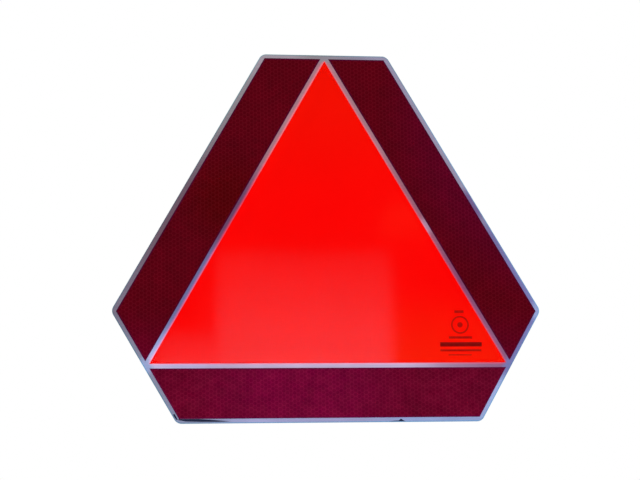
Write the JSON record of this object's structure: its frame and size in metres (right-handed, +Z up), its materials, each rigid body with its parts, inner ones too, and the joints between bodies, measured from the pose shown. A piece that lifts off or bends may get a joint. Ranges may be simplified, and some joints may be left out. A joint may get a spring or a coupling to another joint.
{
  "type": "slow moving vehicle sign",
  "caption": "Flat rear marking plate, a triangle with cut-off tips, with a fluorescent triangle inside a dark retroreflective border, to warn of a slow vehicle ahead.",
  "frame": {"origin": "centre of the fluorescent triangle, on the back face of the plate", "axes": "+X to the right as the front is seen, +Y out of the back face, +Z up to the triangle's top tip; the front faces -Y"},
  "size_m": [0.4208, 0.0019, 0.3666],
  "materials": {
    "bare_aluminium": "mill finish sheet",
    "fluorescent_film": "glossy fluorescent film",
    "retroreflective_film": "dark retroreflective film with honeycomb cells"
  },
  "bodies": {
    "root": {"backing_plate": "bare_aluminium", "fluorescent_triangle": "fluorescent_film", "border_film_left": "retroreflective_film", "border_film_right": "retroreflective_film", "border_film_bottom": "retroreflective_film"}
  },
  "joints": []
}
